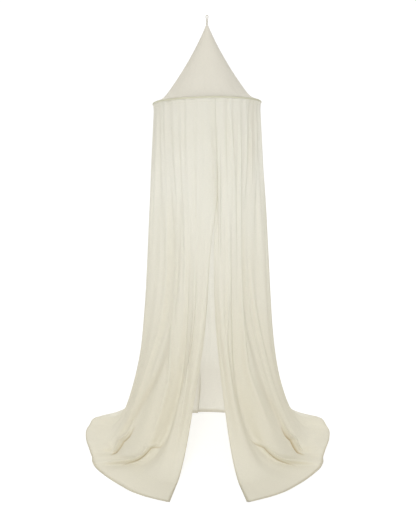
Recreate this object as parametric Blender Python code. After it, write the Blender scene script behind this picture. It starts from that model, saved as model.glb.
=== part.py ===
"""Bed canopy: a cloth roof on a round hoop, with one long muslin curtain that opens at the front.

Metres, +Z up. The origin is the top of the hanging loop, where a ceiling hook carries the canopy.
The front, with the opening between the two curtain edges, faces -Y. The left of the canopy is -X.
Heights below are written above the floor and are lowered by HANG_HEIGHT when points are made.
"""

import math

import bmesh
import bpy
from mathutils import Vector

# Overall sizes
HANG_HEIGHT = 1.990  # floor to the top of the hanging loop
HOOP_HEIGHT = 1.600  # floor to the hoop's centre
HOOP_RADIUS = 0.2460  # to the middle of the hoop's bar
HOOP_BAR_RADIUS = 0.0035
HOOP_FRONT_UP = math.radians(2.4)  # the hoop hangs with its front edge a little high
HOOP_RIGHT_UP = math.radians(1.1)  # and its right side a little high
SEAT_GAP = 0.0003  # between pieces that touch

# Cloth thicknesses
CASING_THICKNESS = 0.0012
ROOF_THICKNESS = 0.0015
CURTAIN_THICKNESS = 0.0015

# Roof
ROOF_RISE = 0.344  # hoop's centre to the top of the roof
ROOF_TOP_RADIUS = 0.0049
ROOF_STRAIGHT_SHARE = 0.62  # the shares of the roof's widening that are straight, slowly curved
ROOF_CURVED_SHARE = 0.25  # and a sharp flare close to the hoop
ROOF_FLARE_SHARE = 0.13
ROOF_FLARE_POWER = 30

# Hanging loop
LOOP_CORD_RADIUS = 0.00175
LOOP_LEG_SPREAD = 0.0021  # half the distance between the two legs, middle to middle
LOOP_EYE_SPREAD = 0.0046  # the same, at the widest of the eye
LOOP_EYE_HEIGHT = 0.024
LOOP_BEND_DEGREES = (30, 60, 90, 120, 150)
KNOT_RADIUS = 0.0065  # the stopper knot inside the top of the roof

# Facets
HOOP_SEGMENTS = 48
BAR_SEGMENTS = 8
CORD_SEGMENTS = 8
EYE_STEPS = 6
KNOT_SEGMENTS = 16
KNOT_RINGS = 10
CASING_SEGMENTS = 10
ROOF_ROWS = 10
ROOF_CROWDING = 1.8  # more than 1 crowds the rows towards the hoop, where the roof flares
CURTAIN_COLUMNS = 84
HANGING_ROWS = 9
SWEEP_ROWS = 12
TRAIN_ROWS = 4
SLOPE_STEP = 1e-3  # for slopes along and across the curtain

# The casing's slit, and its radii once its inner facets clear the hoop
CASING_SLIT = math.radians(36.0)
CASING_STEP = (2.0 * math.pi - CASING_SLIT) / CASING_SEGMENTS
CASING_INNER_RADIUS = (HOOP_BAR_RADIUS + SEAT_GAP) / math.cos(CASING_STEP / 2.0)
CASING_OUTER_RADIUS = CASING_INNER_RADIUS + CASING_THICKNESS

# The curtain's lengthwise lines run from the hoop (0) through MID, where the cloth starts to sweep
# outwards, and TOUCH, where it meets the floor, to the hem (1).
UPPER_LINE = 0.22
MID_LINE = 0.50
KNEE_LINE = 0.70
TOUCH_LINE = 0.86
MID_HEIGHT = 0.52
EDGE_LAP = 0.0036  # the left front edge laps outside the right one, each this far from the hoop's line
EDGE_LAP_GROWTH = 0.018  # and further down the curtain, per unit along it

# Lengthwise lines of the curtain where its folds meet, from the left front edge round the back to
# the right front edge. across: share of the curtain's width. bearing: degrees round the hoop from
# the front by way of the left. mid and hem: plan position at MID_HEIGHT and at the hem. knee: the
# corner that the sweep rounds off, on the floor where the cloth trails. touch: share of the way from
# the knee to the hem at which the sweep ends.
LINE_COLUMNS = ("across", "bearing", "mid_x", "mid_y", "knee_x", "knee_y", "knee_z", "hem_x", "hem_y", "touch")
LINES = (
    (0.000, -8.5, -0.019, -0.286, -0.100, -0.362, 0.00, -0.150, -0.675, 0.62),
    (0.040, 8.0, -0.062, -0.280, -0.122, -0.346, 0.00, -0.321, -0.586, 0.62),
    (0.085, 23.0, -0.104, -0.266, -0.143, -0.312, 0.00, -0.488, -0.402, 0.61),
    (0.145, 44.0, -0.192, -0.200, -0.352, -0.250, 0.00, -0.532, -0.282, 0.50),
    (0.215, 68.0, -0.280, -0.105, -0.345, -0.105, 0.00, -0.590, -0.110, 0.70),
    (0.285, 92.0, -0.303, 0.008, -0.345, 0.015, 0.00, -0.604, 0.045, 0.75),
    (0.350, 118.0, -0.258, 0.120, -0.300, 0.132, 0.03, -0.554, 0.170, 0.70),
    (0.410, 143.0, -0.166, 0.187, -0.185, 0.190, 0.20, -0.330, 0.213, 0.60),
    (0.465, 166.0, -0.062, 0.212, -0.064, 0.211, 0.40, -0.110, 0.208, 0.50),
    (0.500, 180.0, 0.000, 0.216, 0.000, 0.214, 0.42, 0.000, 0.206, 0.50),
    (0.535, 194.0, 0.062, 0.212, 0.064, 0.211, 0.40, 0.110, 0.205, 0.50),
    (0.590, 217.0, 0.168, 0.187, 0.188, 0.190, 0.20, 0.335, 0.214, 0.60),
    (0.650, 242.0, 0.262, 0.120, 0.305, 0.132, 0.03, 0.560, 0.170, 0.70),
    (0.715, 268.0, 0.308, 0.008, 0.350, 0.015, 0.00, 0.612, 0.040, 0.75),
    (0.785, 292.0, 0.284, -0.105, 0.350, -0.105, 0.00, 0.596, -0.110, 0.70),
    (0.855, 314.0, 0.203, -0.196, 0.350, -0.250, 0.00, 0.537, -0.280, 0.50),
    (0.915, 335.0, 0.118, -0.262, 0.150, -0.312, 0.00, 0.497, -0.403, 0.61),
    (0.960, 350.0, 0.078, -0.276, 0.126, -0.344, 0.00, 0.331, -0.588, 0.62),
    (1.000, 358.0, 0.046, -0.282, 0.106, -0.362, 0.00, 0.160, -0.675, 0.62),
)

# How far the two front edges wander sideways between the hoop and MID, in metres to the right.
SWAY_COLUMNS = ("along", "left", "right")
SWAYS = (
    (0.000, 0.000, 0.000),
    (0.100, 0.014, 0.004),
    (0.165, 0.020, 0.010),
    (0.200, 0.018, 0.016),
    (0.270, 0.001, 0.014),
    (0.330, -0.006, 0.010),
    (0.420, -0.004, 0.004),
    (0.500, 0.000, 0.000),
)

# Folds between those lines. start and end: shares of the width. fullness: 1 is a round ridge, more
# is a broad one with steep sides. lean: how far the ridge rolls over towards the front opening, in
# heights, once on the floor. The rest: height at the hoop, UPPER, MID, knee, TOUCH and hem.
FOLD_COLUMNS = ("start", "end", "fullness", "lean", "hoop", "upper", "mid", "knee", "touch", "hem")
FOLDS = (
    (0.000, 0.085, 1.0, 0.0, 0.001, 0.006, 0.028, 0.030, 0.010, 0.003),
    (0.085, 0.145, 1.3, 1.9, 0.002, 0.007, 0.026, 0.042, 0.036, 0.008),
    (0.145, 0.285, 2.4, 1.9, 0.003, 0.005, 0.012, 0.034, 0.038, 0.010),
    (0.285, 0.350, 1.0, 0.0, 0.002, 0.008, 0.020, 0.024, 0.018, 0.006),
    (0.350, 0.410, 1.0, 0.0, 0.002, 0.009, 0.026, 0.030, 0.022, 0.008),
    (0.410, 0.465, 1.0, 0.0, 0.001, 0.006, 0.022, 0.024, 0.020, 0.014),
    (0.465, 0.535, 1.0, 0.0, 0.001, 0.004, 0.012, 0.012, 0.012, 0.010),
    (0.535, 0.590, 1.0, 0.0, 0.002, 0.008, 0.024, 0.026, 0.020, 0.012),
    (0.590, 0.650, 1.0, 0.0, 0.001, 0.007, 0.020, 0.026, 0.022, 0.008),
    (0.650, 0.715, 1.0, 0.0, 0.002, 0.009, 0.024, 0.026, 0.018, 0.006),
    (0.715, 0.855, 2.4, 1.9, 0.004, 0.007, 0.012, 0.034, 0.038, 0.010),
    (0.855, 0.915, 1.3, 1.9, 0.003, 0.010, 0.022, 0.040, 0.036, 0.008),
    (0.915, 1.000, 1.0, 0.0, 0.000, 0.002, 0.022, 0.030, 0.010, 0.003),
)
LEVEL_LINES = (0.0, UPPER_LINE, MID_LINE, KNEE_LINE, TOUCH_LINE, 1.0)
LEVEL_COLUMNS = ("hoop", "upper", "mid", "knee", "touch", "hem")

# Colours, linear
IVORY = (0.76, 0.71, 0.60, 1.0)
ROOF_IVORY = (0.74, 0.70, 0.61, 1.0)
CASING_IVORY = (0.62, 0.58, 0.45, 1.0)
CORD_IVORY = (0.70, 0.64, 0.54, 1.0)
HOOP_WHITE = (0.80, 0.80, 0.78, 1.0)


def remove_everything():
    for old in list(bpy.data.objects):
        bpy.data.objects.remove(old, do_unlink=True)


def material(name, colour, roughness):
    made = bpy.data.materials.new(name)
    made.use_nodes = True
    shader = made.node_tree.nodes["Principled BSDF"]
    shader.inputs["Base Color"].default_value = colour
    shader.inputs["Roughness"].default_value = roughness
    shader.inputs["Metallic"].default_value = 0.0
    return made


def add_object(name, data, finish):
    made = bpy.data.objects.new(name, data)
    bpy.context.scene.collection.objects.link(made)
    data.materials.append(finish)
    return made


def mesh_from(name, shape):
    """A named, smooth-shaded mesh from a bmesh, with its faces pointing out."""
    bmesh.ops.recalc_face_normals(shape, faces=shape.faces)
    data = bpy.data.meshes.new(name)
    shape.to_mesh(data)
    shape.free()
    data.shade_smooth()
    return data


def smooth_value(places, values, at):
    """A smooth curve through the values, read at one place."""
    last = len(places) - 1
    at = min(max(at, places[0]), places[-1])
    i = max(k for k in range(last) if places[k] <= at or k == 0)
    slopes = []
    for k in (i, i + 1):
        before, after = max(k - 1, 0), min(k + 1, last)
        slopes.append((values[after] - values[before]) / (places[after] - places[before]))
    step = places[i + 1] - places[i]
    u = (at - places[i]) / step
    return (
        (2 * u**3 - 3 * u**2 + 1) * values[i]
        + (u**3 - 2 * u**2 + u) * step * slopes[0]
        + (3 * u**2 - 2 * u**3) * values[i + 1]
        + (u**3 - u**2) * step * slopes[1]
    )


def column(rows, names, name):
    return [row[names.index(name)] for row in rows]


ACROSS = column(LINES, LINE_COLUMNS, "across")


def line_at(across, name):
    return smooth_value(ACROSS, column(LINES, LINE_COLUMNS, name), across)


def hoop_tilt(x, y):
    """How much higher the tilted hoop's plane is at a plan position."""
    return x * math.tan(HOOP_RIGHT_UP) - y * math.tan(HOOP_FRONT_UP)


def clear_of_casing(thickness):
    """Distance from the hoop's centre to the end of a cloth that stops just clear of the casing."""
    return CASING_OUTER_RADIUS + SEAT_GAP + 0.5 * thickness


def edge_share(across):
    """1 at a front edge, falling to 0 at the first line in from it."""
    return max(0.0, 1.0 - min(across, 1.0 - across) / ACROSS[1])


def lap(across, along):
    """Distance outwards that keeps the left front edge outside the right one."""
    distance = EDGE_LAP + EDGE_LAP_GROWTH * min(along, MID_LINE)
    return distance * edge_share(across) * (1.0 if across < 0.5 else -1.0)


def sway(across, along):
    side = "left" if across < 0.5 else "right"
    places = column(SWAYS, SWAY_COLUMNS, "along")
    return edge_share(across) * smooth_value(places, column(SWAYS, SWAY_COLUMNS, side), along)


def curtain_base(across, along):
    """A point of the curtain without its folds, above the floor."""
    bearing = math.radians(line_at(across, "bearing"))
    top = Vector((-HOOP_RADIUS * math.sin(bearing), -HOOP_RADIUS * math.cos(bearing), 0.0))
    outward = top.normalized() * lap(across, along)
    top.z = HOOP_HEIGHT + hoop_tilt(top.x, top.y) - clear_of_casing(CURTAIN_THICKNESS)
    mid = Vector((line_at(across, "mid_x"), line_at(across, "mid_y"), MID_HEIGHT))
    knee_height = max(0.0, line_at(across, "knee_z"))
    knee = Vector((line_at(across, "knee_x"), line_at(across, "knee_y"), knee_height))
    hem = Vector((line_at(across, "hem_x"), line_at(across, "hem_y"), 0.0))
    touch = knee.lerp(hem, line_at(across, "touch"))
    if along <= MID_LINE:
        # The hanging stretch ends in the direction of the sweep that follows it.
        u = along / MID_LINE
        pull = (knee - mid) * (top.z - mid.z) / (mid.z - knee.z)
        point = top.lerp(mid, u)
        point += (mid - top - pull) * (u * u * (1.0 - u))
        point.x += sway(across, along)
        return point + outward
    if along <= TOUCH_LINE:
        u = (along - MID_LINE) / (TOUCH_LINE - MID_LINE)
        outward *= (1.0 - u) ** 2
        return mid * (1.0 - u) ** 2 + knee * (2.0 * u * (1.0 - u)) + touch * u**2 + outward
    return touch.lerp(hem, (along - TOUCH_LINE) / (1.0 - TOUCH_LINE))


def fold_height(across, along):
    """Height of the folds above the base surface, and how far they lean to the front."""
    for row in FOLDS:
        fold = dict(zip(FOLD_COLUMNS, row))
        if fold["start"] <= across <= fold["end"]:
            break
    share = (across - fold["start"]) / (fold["end"] - fold["start"])
    shape = 1.0 - abs(math.cos(math.pi * share)) ** (2.0 * fold["fullness"])
    height = shape * smooth_value(LEVEL_LINES, [fold[name] for name in LEVEL_COLUMNS], along)
    on_floor = min(max((along - MID_LINE) / (TOUCH_LINE - MID_LINE), 0.0), 1.0)
    return height, height * fold["lean"] * on_floor**2


def curtain_point(across, along):
    """A point on the middle of the cloth's thickness."""
    point = curtain_base(across, along)
    left, right = max(across - SLOPE_STEP, 0.0), min(across + SLOPE_STEP, 1.0)
    above, below = max(along - SLOPE_STEP, 0.0), min(along + SLOPE_STEP, 1.0)
    sideways = curtain_base(right, along) - curtain_base(left, along)
    down = curtain_base(across, below) - curtain_base(across, above)
    outward = sideways.cross(down).normalized()
    height, lean = fold_height(across, along)
    to_front = sideways.normalized() * (-1.0 if across < 0.5 else 1.0)
    point = point + outward * height + to_front * lean
    point.z += 0.5 * CURTAIN_THICKNESS - HANG_HEIGHT
    return point


def spaced(start, end, count):
    return [start + (end - start) * k / count for k in range(count)]


def make_curtain(finish):
    across_stops = [
        stop
        for start, end, *_ in FOLDS
        for stop in spaced(start, end, round((end - start) * CURTAIN_COLUMNS))
    ] + [1.0]
    along_stops = (
        spaced(0.0, MID_LINE, HANGING_ROWS)
        + spaced(MID_LINE, TOUCH_LINE, SWEEP_ROWS)
        + spaced(TOUCH_LINE, 1.0, TRAIN_ROWS)
        + [1.0]
    )
    shape = bmesh.new()
    grid = [[shape.verts.new(curtain_point(a, s)) for a in across_stops] for s in along_stops]
    for upper, lower in zip(grid, grid[1:]):
        for k in range(len(upper) - 1):
            shape.faces.new((upper[k], lower[k], lower[k + 1], upper[k + 1]))
    curtain = add_object("curtain", mesh_from("curtain", shape), finish)
    cloth = curtain.modifiers.new("cloth", "SOLIDIFY")
    cloth.thickness = CURTAIN_THICKNESS
    cloth.offset = 0.0
    return curtain


def roof_radius(rise):
    """The roof's radius at a height above the hoop's centre."""
    down = max(0.0, (ROOF_RISE - rise) / (ROOF_RISE - clear_of_casing(ROOF_THICKNESS)))
    widening = ROOF_STRAIGHT_SHARE + ROOF_CURVED_SHARE * down + ROOF_FLARE_SHARE * down**ROOF_FLARE_POWER
    return ROOF_TOP_RADIUS + (HOOP_RADIUS - ROOF_TOP_RADIUS) * widening * down


def knot_height():
    """Height of the stopper knot's middle, where it bears on the inside of the roof's top."""
    span = ROOF_RISE - clear_of_casing(ROOF_THICKNESS)
    slope = (HOOP_RADIUS - ROOF_TOP_RADIUS) * ROOF_STRAIGHT_SHARE / span
    reach = (KNOT_RADIUS + SEAT_GAP + 0.5 * ROOF_THICKNESS) / math.cos(math.atan(slope))
    return HOOP_HEIGHT + ROOF_RISE - HANG_HEIGHT - (reach - ROOF_TOP_RADIUS) / slope


def spin_profile(points, segments):
    """A closed outline in the XZ plane, turned once about the vertical axis."""
    shape = bmesh.new()
    corners = [shape.verts.new((x, 0.0, z)) for x, z in points]
    edges = [shape.edges.new((a, b)) for a, b in zip(corners, corners[1:] + corners[:1])]
    bmesh.ops.spin(
        shape,
        geom=corners + edges,
        axis=(0.0, 0.0, 1.0),
        cent=(0.0, 0.0, 0.0),
        angle=2.0 * math.pi,
        steps=segments,
        use_merge=True,
    )
    bmesh.ops.remove_doubles(shape, verts=shape.verts, dist=1e-6)
    return shape


def make_roof(finish):
    """The roof: one sheet, drawn in between the hoop and its top, open at the top for the loop."""
    lowest = clear_of_casing(ROOF_THICKNESS)
    shares = [(k / ROOF_ROWS) ** ROOF_CROWDING for k in range(ROOF_ROWS + 1)]
    rises = [lowest + (ROOF_RISE - lowest) * share for share in shares]
    outer, inner = [], []
    for rise in rises:
        narrowing = roof_radius(rise + SLOPE_STEP) - roof_radius(rise - SLOPE_STEP)
        outward = Vector((2.0 * SLOPE_STEP, -narrowing)).normalized() * (0.5 * ROOF_THICKNESS)
        outer.append((roof_radius(rise) + outward.x, rise + outward.y))
        inner.append((roof_radius(rise) - outward.x, rise - outward.y))
    shape = spin_profile(outer + inner[::-1], HOOP_SEGMENTS)
    for vertex in shape.verts:
        vertex.co.z += hoop_tilt(vertex.co.x, vertex.co.y) + HOOP_HEIGHT - HANG_HEIGHT
    return add_object("roof", mesh_from("roof", shape), finish)


def tilt_onto_hoop(made):
    made.location = (0.0, 0.0, HOOP_HEIGHT - HANG_HEIGHT)
    made.rotation_euler = (-HOOP_FRONT_UP, -HOOP_RIGHT_UP, 0.0)
    return made


def round_section(radius, angles):
    return [(HOOP_RADIUS + radius * math.cos(a), radius * math.sin(a)) for a in angles]


def make_hoop(finish):
    angles = [2.0 * math.pi * k / BAR_SEGMENTS for k in range(BAR_SEGMENTS)]
    shape = spin_profile(round_section(HOOP_BAR_RADIUS, angles), HOOP_SEGMENTS)
    return tilt_onto_hoop(add_object("hoop", mesh_from("hoop", shape), finish))


def make_casing(finish):
    """The sewn tunnel round the hoop, open in a narrow slit along its inner side."""
    start = math.pi + CASING_SLIT / 2.0
    angles = [start + CASING_STEP * k for k in range(CASING_SEGMENTS + 1)]
    outer = round_section(CASING_OUTER_RADIUS, angles)
    inner = round_section(CASING_INNER_RADIUS, angles)
    shape = spin_profile(outer + inner[::-1], HOOP_SEGMENTS)
    return tilt_onto_hoop(add_object("hoop_casing", mesh_from("hoop_casing", shape), finish))


def loop_path():
    """The cord's middle line in the XZ plane: up one leg, round the eye and down the other leg."""
    top = -LOOP_CORD_RADIUS
    eye_base = top - LOOP_EYE_HEIGHT
    middle = (knot_height() + eye_base) / 2.0
    leg = [(LOOP_LEG_SPREAD, z) for z in (knot_height(), middle, eye_base)]
    for k in range(1, EYE_STEPS + 1):
        u = k / EYE_STEPS
        widen = (LOOP_EYE_SPREAD - LOOP_LEG_SPREAD) * math.sin(u * math.pi / 2.0) ** 2
        leg.append((LOOP_LEG_SPREAD + widen, eye_base + (LOOP_EYE_HEIGHT - LOOP_EYE_SPREAD) * u))
    bend = [
        (LOOP_EYE_SPREAD * math.cos(a), top - LOOP_EYE_SPREAD * (1.0 - math.sin(a)))
        for a in (math.radians(degrees) for degrees in LOOP_BEND_DEGREES)
    ]
    return leg + bend + [(-x, z) for x, z in reversed(leg)]


def tube_in_xz(path, radius):
    """A round cord along a path in the XZ plane, closed at both ends."""
    shape = bmesh.new()
    rings = []
    for k, (x, z) in enumerate(path):
        before, after = path[max(k - 1, 0)], path[min(k + 1, len(path) - 1)]
        forward = Vector((after[0] - before[0], 0.0, after[1] - before[1])).normalized()
        side = Vector((-forward.z, 0.0, forward.x))
        ring = []
        for j in range(CORD_SEGMENTS):
            a = 2.0 * math.pi * j / CORD_SEGMENTS
            offset = side * (radius * math.cos(a)) + Vector((0.0, radius * math.sin(a), 0.0))
            ring.append(shape.verts.new(Vector((x, 0.0, z)) + offset))
        rings.append(ring)
    for one, other in zip(rings, rings[1:]):
        for j in range(CORD_SEGMENTS):
            k = (j + 1) % CORD_SEGMENTS
            shape.faces.new((one[j], one[k], other[k], other[j]))
    shape.faces.new(rings[0])
    shape.faces.new(rings[-1])
    return shape


def make_loop(finish):
    """The cord loop, whose two legs come out of the roof's top from a stopper knot inside it."""
    cord = tube_in_xz(loop_path(), LOOP_CORD_RADIUS)
    loop = add_object("hanging_loop", mesh_from("hanging_loop", cord), finish)
    ball = bmesh.new()
    bmesh.ops.create_uvsphere(ball, u_segments=KNOT_SEGMENTS, v_segments=KNOT_RINGS, radius=KNOT_RADIUS)
    bmesh.ops.translate(ball, verts=ball.verts, vec=(0.0, 0.0, knot_height()))
    knot = add_object("knot", mesh_from("knot", ball), finish)
    knot.hide_render = True
    knot.display_type = "WIRE"
    join = loop.modifiers.new("knot", "BOOLEAN")
    join.operation = "UNION"
    join.solver = "EXACT"
    join.object = knot
    return loop


def build():
    remove_everything()
    make_loop(material("loop_cord", CORD_IVORY, 0.8))
    make_roof(material("roof_cotton", ROOF_IVORY, 0.85))
    make_hoop(material("hoop_rod", HOOP_WHITE, 0.5))
    make_casing(material("casing_cotton", CASING_IVORY, 0.85))
    make_curtain(material("curtain_muslin", IVORY, 0.9))


build()
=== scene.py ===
"""Looks of the bed canopy: a sheer muslin curtain, a plain cotton roof, a cased hoop and a cord loop.

Metres, +Z up. The origin is the top of the hanging loop, and the front opening faces -Y.
The curtain and the roof follow the same surfaces as their solids, with finer folds, hems and sewing.
"""

import math

import bpy
import numpy as np
from mathutils import Euler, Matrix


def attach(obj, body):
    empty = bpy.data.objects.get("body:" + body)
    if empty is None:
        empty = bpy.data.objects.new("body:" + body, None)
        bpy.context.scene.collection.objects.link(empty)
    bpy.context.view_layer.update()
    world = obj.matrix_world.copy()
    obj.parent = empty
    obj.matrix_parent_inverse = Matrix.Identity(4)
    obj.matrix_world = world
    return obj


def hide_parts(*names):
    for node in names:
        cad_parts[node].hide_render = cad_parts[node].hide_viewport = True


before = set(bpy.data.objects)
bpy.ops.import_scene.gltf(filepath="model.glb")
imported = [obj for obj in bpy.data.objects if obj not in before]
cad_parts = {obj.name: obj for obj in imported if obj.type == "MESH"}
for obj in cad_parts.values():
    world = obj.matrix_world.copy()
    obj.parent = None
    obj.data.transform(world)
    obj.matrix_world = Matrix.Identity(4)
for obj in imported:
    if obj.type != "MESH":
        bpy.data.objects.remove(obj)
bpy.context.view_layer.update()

# Overall sizes, as in the solids. The roof widens in three shares: straight, slowly curved and flared.
HANG_HEIGHT = 1.990  # floor to the top of the hanging loop
FLOOR = -HANG_HEIGHT
HOOP_HEIGHT = 1.600  # floor to the hoop's centre
HOOP_RADIUS = 0.2460  # to the middle of the hoop's bar
HOOP_FRONT_UP = math.radians(2.4)  # how the hoop hangs
HOOP_RIGHT_UP = math.radians(1.1)
CASING_RADIUS = 0.0051  # outside of the sewn tunnel round the hoop
CASING_SLIT = math.radians(36.0)  # open along the tunnel's inner side
ROOF_RISE = 0.344  # hoop's centre to the top of the roof
ROOF_TOP_RADIUS = 0.0049
ROOF_STRAIGHT_SHARE = 0.62
ROOF_CURVED_SHARE = 0.25
ROOF_FLARE_SHARE = 0.13
ROOF_FLARE_POWER = 30
CLOTH_GAP = 0.0010  # from the casing to the ends of the cloths that are sewn to it

# Camera, as the photograph's
CAMERA_BACK = 3.0  # in front of the hanging loop
CAMERA_HEIGHT = 1.390  # above the floor
CAMERA_DOWN = math.radians(9.86)
CAMERA_LENS_PX = 632.9
FRAME_HEIGHT_PX = 520
CAMERA_SHIFT_PX = 1.0
SENSOR_MM = 36.0

# The curtain's lengthwise lines run from the hoop (0) to the hem (1).
UPPER_LINE = 0.22
MID_LINE = 0.50
KNEE_LINE = 0.70
TOUCH_LINE = 0.86
MID_HEIGHT = 0.52  # of MID_LINE, above the floor
EDGE_LAP = 0.0016  # from the hoop's line to each front edge, the left one outside: less than the solid's
EDGE_LAP_GROWTH = 0.006  # and more down to MID_LINE, per unit along the cloth
CURTAIN_LENGTH = 1.76  # mean length of the cloth, hoop to hem
CURTAIN_WIDTH = 2.40  # mean width of the cloth

# Lengthwise lines of the curtain where its folds meet, as in its solid. bearing: degrees round the hoop
# from the front, clockwise from above. touch: where the cloth meets the floor between knee and hem.
LINE_COLUMNS = (
    "across", "bearing", "mid_x", "mid_y", "knee_x", "knee_y", "knee_z", "hem_x", "hem_y", "touch",
)
LINES = (
    (0.000, -8.5, -0.019, -0.286, -0.100, -0.362, 0.00, -0.150, -0.675, 0.62),
    (0.040, 8.0, -0.062, -0.280, -0.122, -0.346, 0.00, -0.321, -0.586, 0.62),
    (0.085, 23.0, -0.104, -0.266, -0.143, -0.312, 0.00, -0.488, -0.402, 0.61),
    (0.145, 44.0, -0.192, -0.200, -0.352, -0.250, 0.00, -0.532, -0.282, 0.50),
    (0.215, 68.0, -0.280, -0.105, -0.345, -0.105, 0.00, -0.590, -0.110, 0.70),
    (0.285, 92.0, -0.303, 0.008, -0.345, 0.015, 0.00, -0.604, 0.045, 0.75),
    (0.350, 118.0, -0.258, 0.120, -0.300, 0.132, 0.03, -0.554, 0.170, 0.70),
    (0.410, 143.0, -0.166, 0.187, -0.185, 0.190, 0.20, -0.330, 0.213, 0.60),
    (0.465, 166.0, -0.062, 0.212, -0.064, 0.211, 0.40, -0.110, 0.208, 0.50),
    (0.500, 180.0, 0.000, 0.216, 0.000, 0.214, 0.42, 0.000, 0.206, 0.50),
    (0.535, 194.0, 0.062, 0.212, 0.064, 0.211, 0.40, 0.110, 0.205, 0.50),
    (0.590, 217.0, 0.168, 0.187, 0.188, 0.190, 0.20, 0.335, 0.214, 0.60),
    (0.650, 242.0, 0.262, 0.120, 0.305, 0.132, 0.03, 0.560, 0.170, 0.70),
    (0.715, 268.0, 0.308, 0.008, 0.350, 0.015, 0.00, 0.612, 0.040, 0.75),
    (0.785, 292.0, 0.284, -0.105, 0.350, -0.105, 0.00, 0.596, -0.110, 0.70),
    (0.855, 314.0, 0.203, -0.196, 0.350, -0.250, 0.00, 0.537, -0.280, 0.50),
    (0.915, 335.0, 0.118, -0.262, 0.150, -0.312, 0.00, 0.497, -0.403, 0.61),
    (0.960, 350.0, 0.078, -0.276, 0.126, -0.344, 0.00, 0.331, -0.588, 0.62),
    (1.000, 358.0, 0.046, -0.282, 0.106, -0.362, 0.00, 0.160, -0.675, 0.62),
)

# How far the two front edges wander sideways between the hoop and MID_LINE, in metres to the right.
SIDE_COLUMNS = ("along", "left", "right")
SWAYS = (
    (0.000, 0.000, 0.000),
    (0.100, 0.014, 0.004),
    (0.165, 0.020, 0.010),
    (0.200, 0.018, 0.016),
    (0.270, 0.001, 0.014),
    (0.330, -0.006, 0.010),
    (0.420, -0.004, 0.004),
    (0.500, 0.000, 0.000),
)

# Folds between the lines, as in the solid: heights at the hoop and at the named lines down the cloth.
FOLD_COLUMNS = ("start", "end", "fullness", "lean", "hoop", "upper", "mid", "knee", "touch", "hem")
FOLDS = (
    (0.000, 0.085, 1.0, 0.0, 0.001, 0.006, 0.028, 0.030, 0.010, 0.003),
    (0.085, 0.145, 1.3, 1.9, 0.002, 0.007, 0.026, 0.042, 0.036, 0.008),
    (0.145, 0.285, 2.4, 1.9, 0.003, 0.005, 0.012, 0.034, 0.038, 0.010),
    (0.285, 0.350, 1.0, 0.0, 0.002, 0.008, 0.020, 0.024, 0.018, 0.006),
    (0.350, 0.410, 1.0, 0.0, 0.002, 0.009, 0.026, 0.030, 0.022, 0.008),
    (0.410, 0.465, 1.0, 0.0, 0.001, 0.006, 0.022, 0.024, 0.020, 0.014),
    (0.465, 0.535, 1.0, 0.0, 0.001, 0.004, 0.012, 0.012, 0.012, 0.010),
    (0.535, 0.590, 1.0, 0.0, 0.002, 0.008, 0.024, 0.026, 0.020, 0.012),
    (0.590, 0.650, 1.0, 0.0, 0.001, 0.007, 0.020, 0.026, 0.022, 0.008),
    (0.650, 0.715, 1.0, 0.0, 0.002, 0.009, 0.024, 0.026, 0.018, 0.006),
    (0.715, 0.855, 2.4, 1.9, 0.004, 0.007, 0.012, 0.034, 0.038, 0.010),
    (0.855, 0.915, 1.3, 1.9, 0.003, 0.010, 0.022, 0.040, 0.036, 0.008),
    (0.915, 1.000, 1.0, 0.0, 0.000, 0.002, 0.022, 0.030, 0.010, 0.003),
)
LEVEL_LINES = (0.0, UPPER_LINE, MID_LINE, KNEE_LINE, TOUCH_LINE, 1.0)
LEVEL_COLUMNS = ("hoop", "upper", "mid", "knee", "touch", "hem")

# How far the cloth is drawn in, in metres: under the casing, and again a little above the floor. Between
# them its right side stands out, which is negative. The left turns into the right over DRAWN_IN_TURN.
DRAWN_IN = (
    (0.000, 0.0030, 0.0030),
    (0.015, 0.0065, 0.0060),
    (0.100, 0.0060, 0.0045),
    (0.180, 0.0030, 0.0010),
    (0.260, 0.0000, -0.0030),
    (0.360, 0.0000, -0.0060),
    (0.500, 0.0000, -0.0030),
    (0.600, 0.0000, 0.0000),
    (0.700, 0.0060, 0.0030),
    (0.800, 0.0060, 0.0035),
    (0.880, 0.0020, 0.0015),
    (1.000, 0.0000, 0.0000),
)
DRAWN_IN_TURN = (0.4, 0.2)  # start and width, in shares of the cloth's width

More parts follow.
